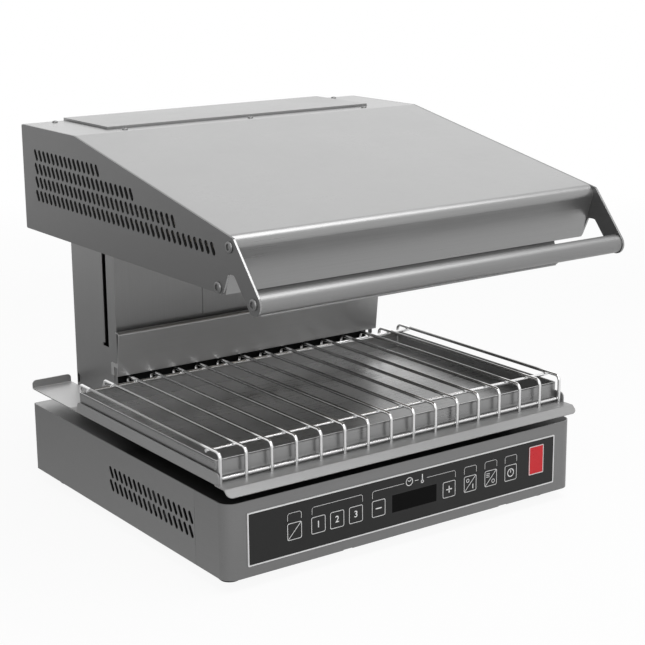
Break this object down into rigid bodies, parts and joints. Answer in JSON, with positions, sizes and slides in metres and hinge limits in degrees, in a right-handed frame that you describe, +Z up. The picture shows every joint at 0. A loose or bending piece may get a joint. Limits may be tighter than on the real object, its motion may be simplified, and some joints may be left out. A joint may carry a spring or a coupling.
{
  "type": "salamander grill",
  "caption": "Countertop salamander grill: a sloped hood with a bar handle rises and falls on a rear column over a wire rack, drip pan and touch-panel base.",
  "frame": {"origin": "on the surface that the feet stand on, under the middle of the overall box", "axes": "+X to the right seen from the front, +Y to the rear, +Z up"},
  "size_m": [0.6048, 0.661, 0.552],
  "materials": {
    "steel": "satin",
    "dark_steel": "satin",
    "chrome_wire": "polished",
    "fastener": "satin",
    "zinc_plate": "satin",
    "black_paint": "satin",
    "bezel": "satin",
    "touch_glass": "gloss",
    "badge": "gloss",
    "circuit_board": "matte",
    "black_plastic": "matte",
    "iron_core": "matte",
    "rubber": "matte",
    "brass": "satin",
    "nylon": "matte",
    "reflector_sheet": "polished",
    "quartz": "gloss",
    "ceramic": "matte",
    "blanket": "matte"
  },
  "bodies": {
    "base": {"fascia": "steel", "base_shell": "steel", "base_top": "steel", "base_bottom": "steel", "feet": "rubber", "control_bezel": "bezel", "control_glass": "touch_glass", "badge_plate": "badge", "control_board": "circuit_board", "board_standoffs": "fastener", "display_module": "black_plastic", "power_board": "circuit_board", "transformer": "iron_core", "mains_terminal": "black_plastic", "fan_frame": "black_plastic", "cable_gland": "black_plastic", "gland_nut": "black_plastic", "column_front": "steel", "column_cover": "steel", "column_sides": "steel", "column_rear": "steel", "column_cap": "steel", "guide_rails": "zinc_plate", "stop_buffers": "rubber", "gas_spring_cylinders": "black_paint", "push_bushes": "brass", "push_sensor": "black_plastic", "tray_rails": "steel"},
    "hood": {"hood_side_left": "steel", "hood_side_right": "steel", "hood_skin": "steel", "hood_underside": "steel", "hood_rear_panels": "steel", "handle_shield": "dark_steel", "handle_tube": "steel", "handle_bolts": "fastener", "side_bolts": "fastener", "hood_top_screws": "fastener", "reflector": "reflector_sheet", "element_tubes": "quartz", "element_caps": "ceramic", "insulation": "blanket", "thermal_cutout": "black_plastic", "roller_pins": "fastener", "carriage_arms": "zinc_plate", "carriage_bar": "zinc_plate", "gas_spring_rods": "zinc_plate", "rod_nuts": "fastener"},
    "tray_unit": {"tray": "steel", "tray_runners": "steel", "drip_pan": "steel", "rack": "chrome_wire"},
    "push_unit": {"push_panel": "steel", "push_pins": "fastener", "push_clips": "fastener"},
    "fan": {"fan_rotor": "black_plastic"},
    "lower_left_roller": {"roller_lower_left": "nylon"},
    "lower_right_roller": {"roller_lower_right": "nylon"},
    "upper_left_roller": {"roller_upper_left": "nylon"},
    "upper_right_roller": {"roller_upper_right": "nylon"}
  },
  "joints": [
    {"name": "hood_slide", "type": "slide", "parent": "base", "child": "hood", "axis": [0, 0, 1], "range_m": [-0.135, 0]},
    {"name": "tray_slide", "type": "slide", "parent": "base", "child": "tray_unit", "axis": [0, -1, 0], "range_m": [0, 0.25]},
    {"name": "push_press", "type": "slide", "parent": "base", "child": "push_unit", "axis": [0, 1, 0], "range_m": [0, 0.003], "stiffness_N_per_m": 600, "springref_m": -0.006},
    {"name": "fan_spin", "type": "hinge", "parent": "base", "child": "fan", "pos_m": [-0.286, -0.0461, 0.07025], "axis": [1, 0, 0], "continuous": true},
    {"name": "lower_left_spin", "type": "hinge", "parent": "hood", "child": "lower_left_roller", "pos_m": [-0.193, 0.213, 0.422], "axis": [0, 1, 0], "range_deg": [0, 620]},
    {"name": "lower_right_spin", "type": "hinge", "parent": "hood", "child": "lower_right_roller", "pos_m": [0.193, 0.213, 0.422], "axis": [0, 1, 0], "range_deg": [-620, 0]},
    {"name": "upper_left_spin", "type": "hinge", "parent": "hood", "child": "upper_left_roller", "pos_m": [-0.193, 0.213, 0.498], "axis": [0, 1, 0], "range_deg": [0, 620]},
    {"name": "upper_right_spin", "type": "hinge", "parent": "hood", "child": "upper_right_roller", "pos_m": [0.193, 0.213, 0.498], "axis": [0, 1, 0], "range_deg": [-620, 0]}
  ],
  "couplings": [
    {"joint": "lower_left_spin", "follows": "hood_slide", "rad_per_m": -80},
    {"joint": "lower_right_spin", "follows": "hood_slide", "rad_per_m": 80},
    {"joint": "upper_left_spin", "follows": "hood_slide", "rad_per_m": -80},
    {"joint": "upper_right_spin", "follows": "hood_slide", "rad_per_m": 80}
  ]
}
